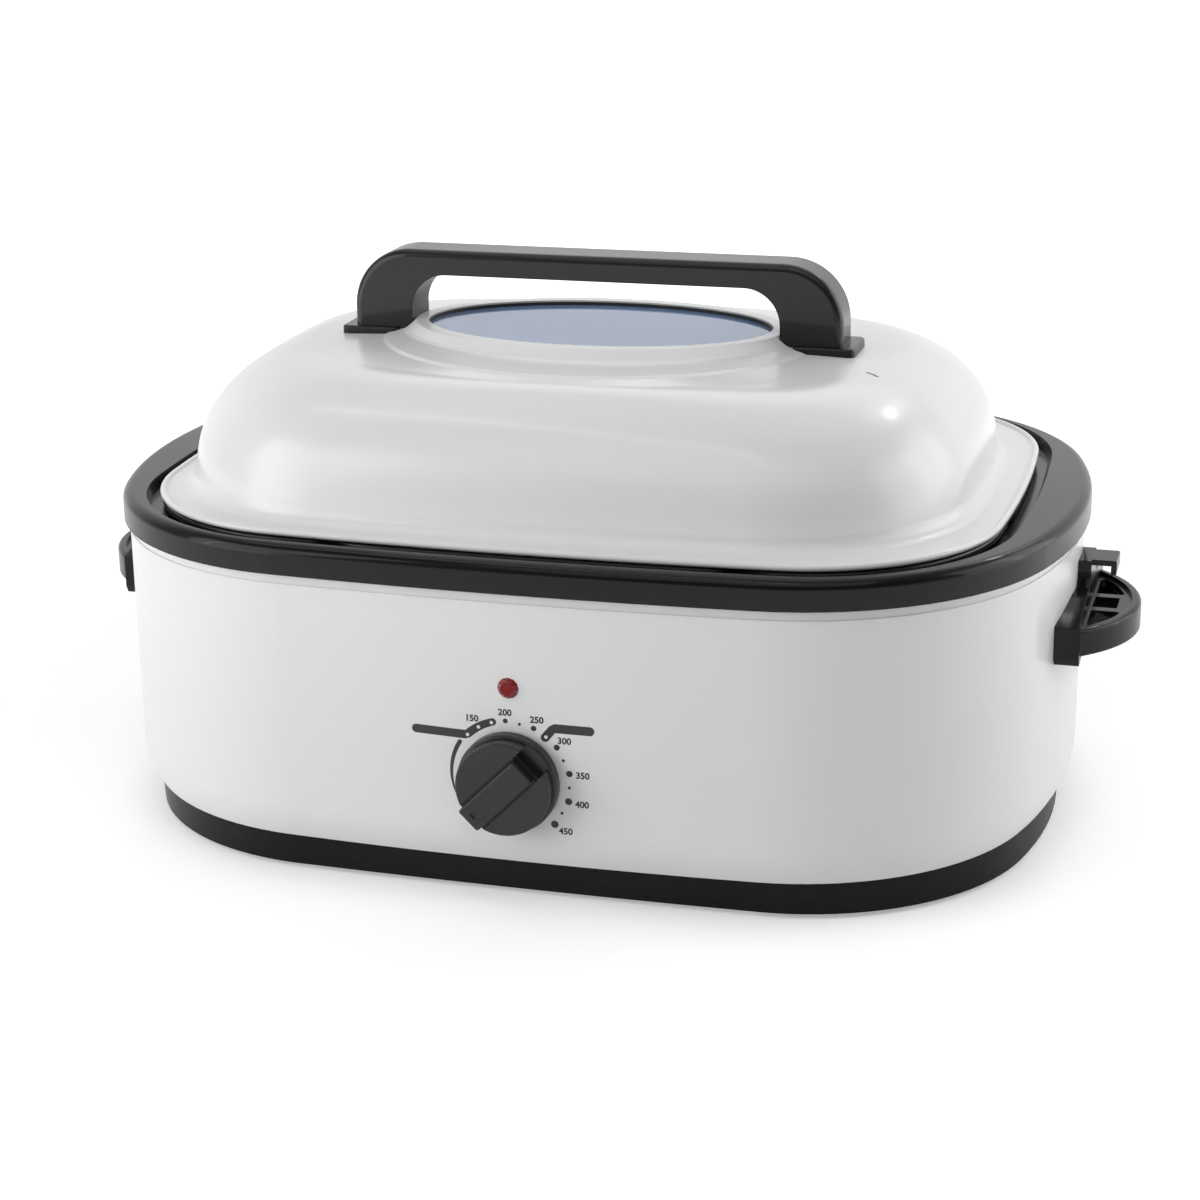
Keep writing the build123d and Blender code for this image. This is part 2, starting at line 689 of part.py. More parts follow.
def control_knob():
    """A skirt and a raised plateau, crossed by a pointer bar that stands in a channel."""
    height = KNOB_BACK - KNOB_FRONT
    skirt = extrude(Circle(KNOB_RADIUS), SKIRT_THICK)
    skirt = fillet(skirt.edges().group_by(Axis.Z)[-1], 1.2)
    plateau = extrude(Circle(PLATEAU_RADIUS), PLATEAU_HEIGHT)
    plateau = fillet(plateau.edges().group_by(Axis.Z)[-1], 1.0)
    channel = BAR_WIDTH / 2 + BAR_GROOVE
    plateau -= block((BAR_TAIL, 30), (-channel, channel), (PLATEAU_HEIGHT - 1.5, 20))
    plateau -= block((BAR_TAIL - 1.5, BAR_TAIL), (-channel, channel), (PLATEAU_HEIGHT - 3, 20))
    plateau -= block((-30, BAR_TAIL - 1.5), (-channel, channel), (SKIRT_THICK, 20))
    bar = Rectangle(BAR_TIP - BAR_TAIL, BAR_WIDTH)
    bar = Pos((BAR_TIP + BAR_TAIL) / 2, 0, 0) * extrude(bar, height)
    bar = fillet(bar.edges().filter_by(Axis.Z), 1.5)
    bar = fillet(bar.edges().group_by(Axis.Z)[-1], 0.8)
    mark = Pos(19.5, 0, height - 0.8) * extrude(Rectangle(3.6, 3.2), 2)
    knob = skirt + plateau + bar - mark - upright(3.35, 0, 0, -1, 12.0)
    return knob_place(knob)


def knob_spring_clip():
    """A bent strip that grips the flat of the shaft inside the knob's bore."""
    ring = upright(3.3, 0, 0, 2.5, 10.5) - upright(SHAFT_RADIUS + 0.05, 0, 0, 0, 20)
    ring -= block((-0.8, 0.8), (-6, 0), (0, 20))
    return knob_place(ring)


def thermostat_shaft():
    shaft = upright(SHAFT_RADIUS, 0, 0, -17.0, 11.5)
    shaft -= block((SHAFT_FLAT, 6), (-6, 6), (1.5, 12))
    return knob_place(shaft)


THERMOSTAT_FRONT = FRONT + 4.0
THERMOSTAT_DEPTH = 14.5
TAB_X = 19.5
TAB_BOTTOM = KNOB_Z - 14.0


def thermostat_body():
    """A bimetal thermostat: ceramic block, round bush and two tab terminals."""
    back = THERMOSTAT_FRONT + THERMOSTAT_DEPTH
    body = block((-17, 17), (THERMOSTAT_FRONT + 1.2, back), (KNOB_Z - 19, KNOB_Z + 19))
    body = fillet(body.edges().filter_by(Axis.Y), 4)
    body += forward(4.6, 0, KNOB_Z, THERMOSTAT_FRONT - 1.0, THERMOSTAT_FRONT + 3)
    for x in (-TAB_X, TAB_X):
        body += block((x - 3, x + 3), (back - 6, back - 5), (TAB_BOTTOM, TAB_BOTTOM + 6))
    return body - forward(SHAFT_RADIUS + 0.05, 0, KNOB_Z, FRONT - 5, back - 1)


def thermostat_bracket():
    """A steel strap from wall to wall behind the front that carries the thermostat."""
    strap = block((-34, 34), (THERMOSTAT_FRONT, THERMOSTAT_FRONT + 1.2), (KNOB_Z - 12, KNOB_Z + 12))
    for x in (-1, 1):
        strap += block(
            sorted((x * 32.8, x * 34)),
            (FRONT + BODY_SHEET + 0.5, THERMOSTAT_FRONT + 1.2),
            (KNOB_Z - 12, KNOB_Z + 12),
        )
    return strap - forward(4.65, 0, KNOB_Z, FRONT - 5, FRONT + 30)


BULB_Z = 134.0
BULB_RADIUS = 2.4


def well_outline(height):
    """The well's outside at a height below the groove."""
    share = (LEDGE - height) / (LEDGE - WELL_FLOOR)
    return WELL_MOUTH.blend(WELL_BASE, share).inset(-WELL_SHEET)


def thermostat_bulb():
    """The sensing tube on the well's wall, with its thin tube down to the thermostat."""
    y = -well_outline(BULB_Z).half_width - BULB_RADIUS - 0.1
    bulb = sideways(BULB_RADIUS, y, BULB_Z, -42, 42)
    back = THERMOSTAT_FRONT + THERMOSTAT_DEPTH - 4
    tube = rod([(20, y, BULB_Z), (54, y, BULB_Z), (54, back, KNOB_Z), (17, back, KNOB_Z)], 0.9, 8)
    return bulb + tube


def indicator_lens():
    """A faceted red lens: a low many-sided cap on a round shank."""
    shank = forward(5.3, 0, LAMP_Z, FRONT - 0.2, FRONT + 8)
    outline = RegularPolygon(5.6, 12)
    cap = loft([outline, Pos(0, 0, 2.4) * scale(outline, 0.62)])
    return shank + Pos(0, FRONT, LAMP_Z) * Rot(90, 0, 0) * cap


def lamp_retainer():
    near = FRONT + BODY_SHEET + 0.1
    return forward(8.0, 0, LAMP_Z, near, near + 0.8) - forward(5.35, 0, LAMP_Z, FRONT, FRONT + 9)


def lamp_body():
    tube = forward(4.4, 0, LAMP_Z, FRONT + 8, FRONT + 17)
    return tube + block((-3, 3), (FRONT + 12, FRONT + 18), (LAMP_Z - 1, LAMP_Z + 1))


# ---------------------------------------------------------------------------
# Heating, insulation and wiring
# ---------------------------------------------------------------------------

ELEMENT_ROWS = (70.0, 90.0, 110.0)
ELEMENT_HEIGHT = 7.0
ELEMENT_GAP = 0.3
ELEMENT_THICK = 1.6
BUS_X = (20.0, 40.0)


def well_skin(offset, low, high):
    """The well's outside between two heights, grown outwards by offset."""
    return loft_levels([(height, well_outline(height).inset(-offset)) for height in (low, high)])


def heating_element():
    """Flat heater ribbons round the well, joined by two bus strips at the back."""
    far = ELEMENT_GAP + ELEMENT_THICK
    element = None
    for row in ELEMENT_ROWS:
        low, high = row - ELEMENT_HEIGHT / 2, row + ELEMENT_HEIGHT / 2
        ribbon = well_skin(far, low, high) - well_skin(ELEMENT_GAP, low - 1, high + 1)
        element = ribbon if element is None else element + ribbon
    low, high = ELEMENT_ROWS[0], ELEMENT_ROWS[-1]
    joined = well_skin(far, low, high) - well_skin(ELEMENT_GAP, low - 1, high + 1)
    for x in BUS_X:
        element += joined & block((x, x + 6), (100, 200), (low, high))
    return element


def element_clips():
    low, high = ELEMENT_ROWS[0] - 12, ELEMENT_ROWS[-1] + 12
    near = ELEMENT_GAP + ELEMENT_THICK + 0.1
    strip = well_skin(near + 0.8, low, high) - well_skin(near, low - 1, high + 1)
    clips = []
    for x in (-150, 90):
        for side in (-1, 1):
            clips.append(strip & block((x, x + 9), sorted((side * 60, side * 200)), (low, high)))
    for side in (-1, 1):
        clips.append(strip & block(sorted((side * 150, side * 260)), (-5, 5), (low, high)))
    return group(clips)


def insulation_blanket():
    """Glass wool round the heater, left open behind the controls and the inlet."""
    low, high = 56.0, 150.0
    blanket = well_skin(11, low, high) - well_skin(3.2, low - 1, high + 1)
    blanket -= block((-64, 64), (-200, 0), (low - 1, high + 1))
    return blanket - block((85, 160), (0, 200), (low - 1, high + 1))


FUSE_X, FUSE_Z = 106.0, 132.0
FUSE_RADIUS = 2.2


def thermal_fuse():
    """A sealed cut-out in a strap that lies on the well's back."""
    y = WELL_MOUTH.half_width + 0.6
    barrel = sideways(FUSE_RADIUS, y, FUSE_Z, FUSE_X - 10, FUSE_X + 10)
    strap = block((FUSE_X - 2, FUSE_X + 2), (y - 8, y + 3), (FUSE_Z - 3.4, FUSE_Z + 3.4))
    strap -= sideways(FUSE_RADIUS + 0.05, y, FUSE_Z, FUSE_X - 15, FUSE_X + 15)
    return group([barrel, strap - well_skin(0.1, FUSE_Z - 5, FUSE_Z + 5)])


TERMINAL_X = (66.0, 78.0, 90.0)
TERMINAL_Y = 148.0
TERMINAL_DEPTH = 11.0


def terminal_block():
    """A screw terminal strip that stands on the bottom plate inside the base."""
    middle = Pos(TERMINAL_X[1], TERMINAL_Y, PLATE_TOP)
    upward = (Align.CENTER, Align.CENTER, Align.MIN)
    body = middle * Box(44, TERMINAL_DEPTH, 6.3, align=upward)
    body += middle * Box(36, TERMINAL_DEPTH, 18.3, align=upward)
    for x in TERMINAL_X:
        body -= upright(2.4, x, TERMINAL_Y, 22, 30)
    return body


def cord_gland():
    """The bush in the rear wall where the supply lead comes out, left empty."""
    wall = -FRONT - 4.0
    nut_start = wall - 5.8
    bush = forward(11.0, GLAND_X, GLAND_Z, wall + 2.2, wall + 6.2)
    bush = fillet(bush.edges().group_by(Axis.Y)[-1], 1.5)
    bush += forward(GLAND_HOLE - 0.1, GLAND_X, GLAND_Z, nut_start, wall + 3)
    nut = Pos(GLAND_X, nut_start, GLAND_Z) * Rot(-90, 0, 0) * extrude(RegularPolygon(11, 6), 3)
    return bush + nut - forward(4.3, GLAND_X, GLAND_Z, wall - 12, wall + 12)


LEAD_RADIUS = 0.9
RISER_Y = 170.0  # where a lead rises between the body's lower edge and the well
BUS_LEAD_Y = 167.6


def internal_leads():
    """Supply to the thermostat, thermostat to the heater, and supply to the heater."""
    supply, neutral, _ = TERMINAL_X
    block_face = TERMINAL_Y - TERMINAL_DEPTH / 2
    tab_y = THERMOSTAT_FRONT + THERMOSTAT_DEPTH - 5.5
    heater_z = ELEMENT_ROWS[0] - ELEMENT_HEIGHT / 2 - 0.2
    to_thermostat = [
        (supply, block_face, 24),
        (supply, block_face - 14, 24),
        (supply, block_face - 14, 13),
        (supply, -100, 13),
        (-TAB_X, -RISER_Y, 13),
        (-TAB_X, -RISER_Y, 42),
        (-TAB_X, tab_y, 51),
        (-TAB_X, tab_y, TAB_BOTTOM - 0.2),
    ]
    to_heater = [
        (TAB_X, tab_y, TAB_BOTTOM - 0.2),
        (TAB_X, tab_y, 51),
        (TAB_X, -RISER_Y, 42),
        (TAB_X, -RISER_Y, 17),
        (BUS_X[0] + 3, -100, 17),
        (BUS_X[0] + 3, BUS_LEAD_Y - 0.4, 17),
        (BUS_X[0] + 3, BUS_LEAD_Y - 0.4, 52),
        (BUS_X[0] + 3, BUS_LEAD_Y, heater_z),
    ]
    neutral_lead = [
        (neutral, block_face, 24),
        (neutral, block_face - 14, 24),
        (neutral, block_face - 14, 20),
        (BUS_X[1] + 3, 110, 20),
        (BUS_X[1] + 3, BUS_LEAD_Y - 0.4, 20),
        (BUS_X[1] + 3, BUS_LEAD_Y - 0.4, 52),
        (BUS_X[1] + 3, BUS_LEAD_Y, heater_z),
    ]
    return group([rod(route, LEAD_RADIUS, 1.8) for route in (to_thermostat, to_heater, neutral_lead)])


def build():
    handle = side_handle()
    save("outer_shell", outer_shell())
    save("base_skirt", base_skirt())
    save("bottom_plate", bottom_plate())
    save("base_screws", base_screws())
    save("feet", feet())
    save("well_studs", well_studs())
    save("heating_well", heating_well())
    save("roasting_pan", roasting_pan())
    save("rack_frame", rack_frame())
    save("rack_wires", rack_wires())
    save("rack_handles", rack_handles())
    save("lid_shell", lid_shell())
    save("window_glass", ON_DOME * window_glass())
    save("window_gasket", ON_DOME * window_gasket())
    save("window_ring", ON_DOME * window_ring())
    save("lid_handle", ON_DOME * lid_handle())
    save("lid_handle_screws", ON_DOME * lid_handle_screws())
    save("lid_handle_washers", ON_DOME * lid_handle_washers())
    save("side_handle_right", handle)
    save("side_handle_left", mirror(handle, about=Plane.YZ))
    save("handle_brackets", handle_brackets())
    save("side_handle_screws", side_handle_screws())
    save("control_knob", control_knob())
    save("knob_spring_clip", knob_spring_clip())
    save("thermostat_shaft", thermostat_shaft())
    save("thermostat_body", thermostat_body())
    save("thermostat_bracket", thermostat_bracket())
    save("thermostat_bulb", thermostat_bulb())
    save("indicator_lens", indicator_lens())
    save("lamp_retainer", lamp_retainer())
    save("lamp_body", lamp_body())
    save("heating_element", heating_element())
    save("element_clips", element_clips())
    save("insulation_blanket", insulation_blanket())
    save("thermal_fuse", thermal_fuse())
    save("terminal_block", terminal_block())
    save("cord_gland", cord_gland())
    save("internal_leads", internal_leads())


build()
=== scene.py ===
# %% [markdown]
# # Dressing an electric roaster oven
# The solids of the oven, its joints and its sizes come ready made as a frame of CAD parts.
# This lesson gives them their finishes: baked white enamel, black porcelain enamel, black
# moulded handles, tinted glass and a printed temperature scale. Lengths are in metres, +Z is up,
# the front of the oven looks towards -Y and the oven stands on z = 0.

# %% Load the frame
import json
import math

import bmesh
import bpy
from mathutils import Matrix, Vector


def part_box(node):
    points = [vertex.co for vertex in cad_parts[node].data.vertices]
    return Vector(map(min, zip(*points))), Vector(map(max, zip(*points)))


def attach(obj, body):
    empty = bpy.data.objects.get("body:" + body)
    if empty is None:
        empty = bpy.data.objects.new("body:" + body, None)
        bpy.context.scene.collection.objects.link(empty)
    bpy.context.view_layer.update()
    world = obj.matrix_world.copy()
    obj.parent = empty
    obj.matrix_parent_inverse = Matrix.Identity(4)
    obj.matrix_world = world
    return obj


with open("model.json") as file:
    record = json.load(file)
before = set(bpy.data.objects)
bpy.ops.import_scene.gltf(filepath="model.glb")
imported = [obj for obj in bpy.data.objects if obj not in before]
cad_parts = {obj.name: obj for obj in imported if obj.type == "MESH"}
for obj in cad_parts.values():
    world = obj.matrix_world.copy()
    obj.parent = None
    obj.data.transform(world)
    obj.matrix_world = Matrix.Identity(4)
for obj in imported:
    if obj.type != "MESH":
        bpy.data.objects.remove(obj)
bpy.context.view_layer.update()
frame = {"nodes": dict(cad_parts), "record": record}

scene = bpy.context.scene
nodes = frame["nodes"]
MM = 0.001

# %% [markdown]
# ## Camera
# A long lens keeps the proportions of an appliance true. The camera stands a little to the right
# and a little above, so that the long front, the round end and the top of the lid all show. It
# is easiest to read as three turns: round the object, down towards it, and a slight roll.

# %% Camera
CAMERA_PLACE = Vector((0.38645, -1.35803, 0.56869))
CAMERA_ROUND = math.radians(16.03)
CAMERA_DOWN = math.radians(18.06)
CAMERA_ROLL = math.radians(-0.74)
LENS_MM = 78.8
SENSOR_MM = 36.0

camera = bpy.data.objects.new("camera", bpy.data.cameras.new("camera"))
scene.collection.objects.link(camera)
camera.data.sensor_width = SENSOR_MM
camera.data.lens = LENS_MM
camera.matrix_world = (
    Matrix.Translation(CAMERA_PLACE)
    @ Matrix.Rotation(CAMERA_ROUND, 4, "Z")
    @ Matrix.Rotation(math.pi / 2 - CAMERA_DOWN, 4, "X")
    @ Matrix.Rotation(CAMERA_ROLL, 4, "Z")
)
scene.camera = camera
scene.view_settings.view_transform = "Standard"
print("camera lens", camera.data.lens, "mm")

# %% [markdown]
# ## Shader nodes in a few words
# Every material below is a node tree. The first helper adds one node, sets its options, and
# either wires a socket into each input or gives it a value, so a tree reads like a list of steps.
# The others mix two colours, make and place a node group, and start a material.

# %% Node helpers
def add(tree, kind, inputs=None, **options):
    """Adds a shader node; an input may be a value or a socket to wire in."""
    node = tree.nodes.new("ShaderNode" + kind)
    for key, value in options.items():
        setattr(node, key, value)
    for key, value in (inputs or {}).items():
        if isinstance(value, bpy.types.NodeSocket):
            tree.links.new(value, node.inputs[key])
        else:
            node.inputs[key].default_value = value
    return node


def mix_colours(tree, factor, first, second):
    """A colour between two others; a colour may be a tuple or a socket."""
    inputs = {"Factor": factor}
    for key, colour in (("A", first), ("B", second)):
        inputs[key] = colour if isinstance(colour, bpy.types.NodeSocket) else (*colour, 1)
    return add(tree, "Mix", inputs, data_type="RGBA").outputs["Result"]


def new_group(name, inputs, outputs):
    """An empty node group: inputs are (name, default), outputs are (name, socket type)."""
    group = bpy.data.node_groups.new(name, "ShaderNodeTree")
    for label, default in inputs:
        socket = group.interface.new_socket(label, in_out="INPUT", socket_type="NodeSocketFloat")
        socket.default_value = default
    for label, kind in outputs:
        group.interface.new_socket(label, in_out="OUTPUT", socket_type="NodeSocket" + kind)
    return group, group.nodes.new("NodeGroupInput"), group.nodes.new("NodeGroupOutput")


def use_group(tree, group, **inputs):
    """Places a node group in a material with its own values."""
    node = tree.nodes.new("ShaderNodeGroup")
    node.node_tree = group
    for key, value in inputs.items():
        node.inputs[key].default_value = value
    return node


def new_material(name):
    """A new material, its node tree and the Principled BSDF in it."""
    material = bpy.data.materials.new(name)
    material.use_nodes = True
    tree = material.node_tree
    return material, tree, tree.nodes["Principled BSDF"]


print("helpers ready")

# %% [markdown]
# ## Effects that several finishes share
# Sprayed and baked coatings are never optically flat. They carry a long soft waviness, called
# orange peel, that breaks the edges of a reflection. One group makes that height from two noise
# textures. A second group makes the faint haze of handling and wiping that changes how sharp a
# reflection is from place to place; it is soft and broad, because hard-edged patches would look
# like stains. A third one finds edges from the mesh's own curvature, for the way a moulded or
# enamelled edge goes thin and pale, and for a painted highlight along the edges. A fourth one
# turns the normals near an edge as if it had a small radius, which every mould leaves, so that
# the edge catches a thin line of light.

# %% Shared groups
FINE_PEEL_SCALE = 1400.0
FINE_PEEL_SHARE = 0.25  # how high the fine waves are next to the broad ones
SMEAR_FROM, SMEAR_TO = 0.2, 0.8  # the part of the noise that the handling mask spreads out
CHIP_SCALE = 160.0


def make_orange_peel():
    """Broad soft waves with finer ones on them, as a height."""
    group, source, sink = new_group("orange_peel", [("Scale", 260.0)], [("Height", "Float")])
    place = add(group, "TexCoord").outputs["Object"]
    scale = source.outputs["Scale"]
    broad = add(group, "TexNoise", {"Vector": place, "Scale": scale, "Detail": 1.0})
    fine = add(group, "TexNoise", {"Vector": place, "Scale": FINE_PEEL_SCALE, "Detail": 2.0})
    height = add(
        group, "Math", {0: fine.outputs["Fac"], 1: FINE_PEEL_SHARE, 2: broad.outputs["Fac"]},
        operation="MULTIPLY_ADD",
    )
    group.links.new(height.outputs[0], sink.inputs["Height"])
    return group


def make_handling():
    """A soft mask of where hands and cloths have been, and a roughness that follows it."""
    group, source, sink = new_group(
        "handling",
        [("Scale", 5.0), ("Low", 0.2), ("High", 0.3)],
        [("Roughness", "Float"), ("Mask", "Float")],
    )
    place = add(group, "TexCoord").outputs["Object"]
    scale = source.outputs["Scale"]
    smear = add(
        group, "TexNoise", {"Vector": place, "Scale": scale, "Detail": 2.0, "Roughness": 0.4}
    )
    mask = add(
        group, "MapRange",
        {"Value": smear.outputs["Fac"], "From Min": SMEAR_FROM, "From Max": SMEAR_TO},
        interpolation_type="SMOOTHERSTEP",
    ).outputs["Result"]
    low, high = source.outputs["Low"], source.outputs["High"]
    spread = add(group, "MapRange", {"Value": mask, "To Min": low, "To Max": high})
    group.links.new(spread.outputs["Result"], sink.inputs["Roughness"])
    group.links.new(mask, sink.inputs["Mask"])
    return group


def make_edge_wear():
    """A mask of the sharp edges, broken up by a fine noise, for wear and a painted highlight."""
    group, source, sink = new_group(
        "wear_and_sheen_edges", [("Start", 0.53), ("End", 0.62)], [("Mask", "Float")]
    )
    curve = add(group, "NewGeometry").outputs["Pointiness"]
    place = add(group, "TexCoord").outputs["Object"]
    chips = add(group, "TexNoise", {"Vector": place, "Scale": CHIP_SCALE, "Detail": 3.0})
    start, end = source.outputs["Start"], source.outputs["End"]
    edge = add(group, "MapRange", {"Value": curve, "From Min": start, "From Max": end})
    broken = add(
        group, "Math", {0: edge.outputs["Result"], 1: chips.outputs["Fac"]}, operation="MULTIPLY"
    )
    group.links.new(broken.outputs[0], sink.inputs["Mask"])
    return group


def make_soft_edges():
    """Normals that turn over an edge as if it were rounded."""
    group, source, sink = new_group("soft_edges", [("Radius", 0.0005)], [("Normal", "Vector")])
    rounded = add(group, "Bevel", {"Radius": source.outputs["Radius"]}, samples=6)
    group.links.new(rounded.outputs["Normal"], sink.inputs["Normal"])
    return group


ORANGE_PEEL = make_orange_peel()
HANDLING = make_handling()
WEAR_AND_SHEEN_EDGES = make_edge_wear()
SOFT_EDGES = make_soft_edges()
print("groups:", [group.name for group in bpy.data.node_groups])

# %% [markdown]
# ## Coatings and mouldings
# Enamel is a coloured body under a glassy skin. One function covers the white baked paint, the
# black porcelain enamel and the mouldings, because they differ only in colour, gloss and how
# wavy the skin is. The colour moves a little with the handling mask, so no area is one flat
# value, and edges drift towards a paler second colour, for wear and as a painted highlight. The
# dark mouldings take most of their shine from the coat: a low base reflection keeps black black
# where it faces a white room.

# %% Coating material
WEAR_AND_SHEEN_SHARE = 0.4  # how far an edge drifts towards its paler second colour: wear and painted highlight
HANDLED_SHADE = 0.985  # what handling leaves of the colour's brightness
PEEL_STRENGTH = 0.5


def coating(name, colour, wear_and_sheen_colour, gloss, peel, specular=0.5, coat=(0.0, 0.1), edge=0.0):
    """A paint, enamel or moulding.

    gloss is the range of the roughness, peel the depth in mm and the scale of the waves, coat the
    weight and roughness of the clear skin, and edge the radius in mm that edges seem to have.
    """
    material, tree, shader = new_material(name)
    haze = use_group(tree, HANDLING, Low=gloss[0], High=gloss[1])
    wear_and_sheen_mask = use_group(tree, WEAR_AND_SHEEN_EDGES)
    depth_mm, peel_scale = peel
    height = use_group(tree, ORANGE_PEEL, Scale=peel_scale).outputs["Height"]
    handled = tuple(value * HANDLED_SHADE for value in colour)
    body = mix_colours(tree, haze.outputs["Mask"], colour, handled)
    # Edges turn paler: partly wear, partly a painted highlight along them.
    share = add(tree, "Math", {0: wear_and_sheen_mask.outputs["Mask"], 1: WEAR_AND_SHEEN_SHARE}, operation="MULTIPLY")
    skin = mix_colours(tree, share.outputs[0], body, wear_and_sheen_colour)
    bump = add(
        tree, "Bump", {"Height": height, "Strength": PEEL_STRENGTH, "Distance": depth_mm * MM}
    )
    if edge:
        rounded = use_group(tree, SOFT_EDGES, Radius=edge * MM)
        tree.links.new(rounded.outputs["Normal"], bump.inputs["Normal"])
    tree.links.new(skin, shader.inputs["Base Color"])
    tree.links.new(haze.outputs["Roughness"], shader.inputs["Roughness"])
    tree.links.new(bump.outputs["Normal"], shader.inputs["Normal"])
    shader.inputs["Specular IOR Level"].default_value = specular
    shader.inputs["Coat Weight"].default_value = coat[0]
    shader.inputs["Coat Roughness"].default_value = coat[1]
    return material


WHITE = coating(
    "white_enamel", (0.80, 0.80, 0.80), (0.84, 0.84, 0.84), (0.29, 0.34), (0.012, 240.0),
    coat=(0.2, 0.12),
)
BLACK_RIM = coating(
    "black_enamel", (0.004, 0.004, 0.0045), (0.05, 0.05, 0.055), (0.3, 0.36), (0.02, 330.0),
    specular=0.1, coat=(0.26, 0.06), edge=0.6,
)
PAN = coating(
    "pan_enamel", (0.012, 0.012, 0.013), (0.05, 0.05, 0.05), (0.28, 0.36), (0.05, 300.0),
    specular=0.3,
)
HANDLE = coating(
    "handle_black", (0.003, 0.003, 0.0033), (0.02, 0.02, 0.02), (0.3, 0.4), (0.006, 500.0),
    specular=0.05, coat=(0.35, 0.05), edge=1.5,
)
LID_HANDLE = coating(
    "lid_handle_black", (0.004, 0.004, 0.0043), (0.02, 0.02, 0.02), (0.32, 0.40), (0.006, 700.0),
    specular=0.25, coat=(0.3, 0.08), edge=1.0,
)
KNOB = coating(
    "knob_black", (0.013, 0.013, 0.014), (0.03, 0.03, 0.03), (0.34, 0.42), (0.006, 600.0),
    specular=0.3, coat=(0.3, 0.06), edge=0.8,
)
BASE = coating(
    "base_black", (0.003, 0.003, 0.0033), (0.02, 0.02, 0.02), (0.34, 0.46), (0.03, 180.0),
    specular=0.05, coat=(0.14, 0.1),
)
print("coatings:", len(bpy.data.materials))

# %% [markdown]
# ## Metals, rubber, glass wool and the rest
# The pieces inside and underneath are plain industrial finishes. Zinc plate has fine grain and a
# faint blue cast, drawn wire is brighter, rubber is dull with a powdery bloom, pressed glass wool
# is a tangle of pale fibres. Two functions cover them, one for metal and one for all that is
# matt: in both, a noise gives two tones of the colour and the fine relief.

# %% Metal, rubber and wool
METAL_HAZE_SCALE = 40.0
METAL_SHADE = 0.72  # the darker tone of a plated metal, as a share of its colour
GRAIN_STRETCH = 14.0  # how many times longer than wide the grain of a metal is
GRAIN_DEPTH = 0.02 * MM
MATT_SPREAD = 0.15  # how much rougher the roughest spots of a matt material are


def plated(name, colour, gloss, grain):
    """Plated steel: metallic, with fine grain stretched along one axis."""
    material, tree, shader = new_material(name)
    haze = use_group(tree, HANDLING, Scale=METAL_HAZE_SCALE, Low=gloss[0], High=gloss[1])
    place = add(tree, "TexCoord").outputs["Object"]
    stretch = (1.0, GRAIN_STRETCH, GRAIN_STRETCH)
    along = add(tree, "Mapping", {"Vector": place, "Scale": stretch}).outputs["Vector"]
    lines = add(tree, "TexNoise", {"Vector": along, "Scale": grain, "Detail": 3.0})
    dark = tuple(value * METAL_SHADE for value in colour)
    shade = mix_colours(tree, haze.outputs["Mask"], colour, dark)
    height = lines.outputs["Fac"]
    bump = add(tree, "Bump", {"Height": height, "Strength": 0.25, "Distance": GRAIN_DEPTH})
    tree.links.new(shade, shader.inputs["Base Color"])
    tree.links.new(haze.outputs["Roughness"], shader.inputs["Roughness"])
    tree.links.new(bump.outputs["Normal"], shader.inputs["Normal"])
    shader.inputs["Metallic"].default_value = 1.0
    return material


def dull(name, colour, second, scale, depth_mm, roughness):
    """A matt material with a two-tone grain: rubber, ceramic, nylon, ink or fibre."""
    material, tree, shader = new_material(name)
    place = add(tree, "TexCoord").outputs["Object"]
    grain = add(
        tree, "TexNoise", {"Vector": place, "Scale": scale, "Detail": 6.0, "Roughness": 0.7}
    ).outputs["Fac"]
    tone = mix_colours(tree, grain, colour, second)
    bump = add(tree, "Bump", {"Height": grain, "Strength": 0.6, "Distance": depth_mm * MM})
    roughest = roughness + MATT_SPREAD
    rough = add(tree, "MapRange", {"Value": grain, "To Min": roughness, "To Max": roughest})
    tree.links.new(tone, shader.inputs["Base Color"])
    tree.links.new(rough.outputs["Result"], shader.inputs["Roughness"])
    tree.links.new(bump.outputs["Normal"], shader.inputs["Normal"])
    return material


ZINC = plated("zinc_steel", (0.60, 0.61, 0.63), (0.26, 0.42), 900.0)
CHROME = plated("rack_chrome", (0.80, 0.80, 0.81), (0.08, 0.2), 300.0)
RIBBON = plated("heater_ribbon", (0.42, 0.38, 0.34), (0.3, 0.5), 1200.0)
COPPER = plated("copper_tube", (0.78, 0.42, 0.27), (0.2, 0.4), 700.0)
RUBBER = dull("black_rubber", (0.018, 0.018, 0.018), (0.04, 0.04, 0.04), 900.0, 0.03, 0.55)
WOOL = dull("glass_wool", (0.78, 0.74, 0.60), (0.88, 0.86, 0.78), 420.0, 0.8, 0.85)
CERAMIC = dull("ceramic", (0.78, 0.75, 0.69), (0.88, 0.86, 0.82), 800.0, 0.05, 0.55)
SLEEVE = dull("lead_sleeve", (0.70, 0.66, 0.58), (0.84, 0.81, 0.74), 1500.0, 0.08, 0.7)
NYLON = dull("lamp_plastic", (0.80, 0.79, 0.75), (0.88, 0.87, 0.84), 500.0, 0.01, 0.4)
print("materials:", len(bpy.data.materials))

# %% [markdown]
# ## Glass and the red lens
# The window is tempered glass with a smoke-blue tint that a warm lid keeps slightly misty, so part
# of its light is scattered and part goes through. A faint smear in the roughness keeps the
# reflection from looking too perfect. The lens is red plastic with little ribs inside, so its
# normal is bent by a fine wave.

# %% Glass materials
FILM_SCALE = 14.0
FILM_LIFT = 1.06  # how much paler the tint is where the film is thick
RIB_DEPTH = 0.3 * MM


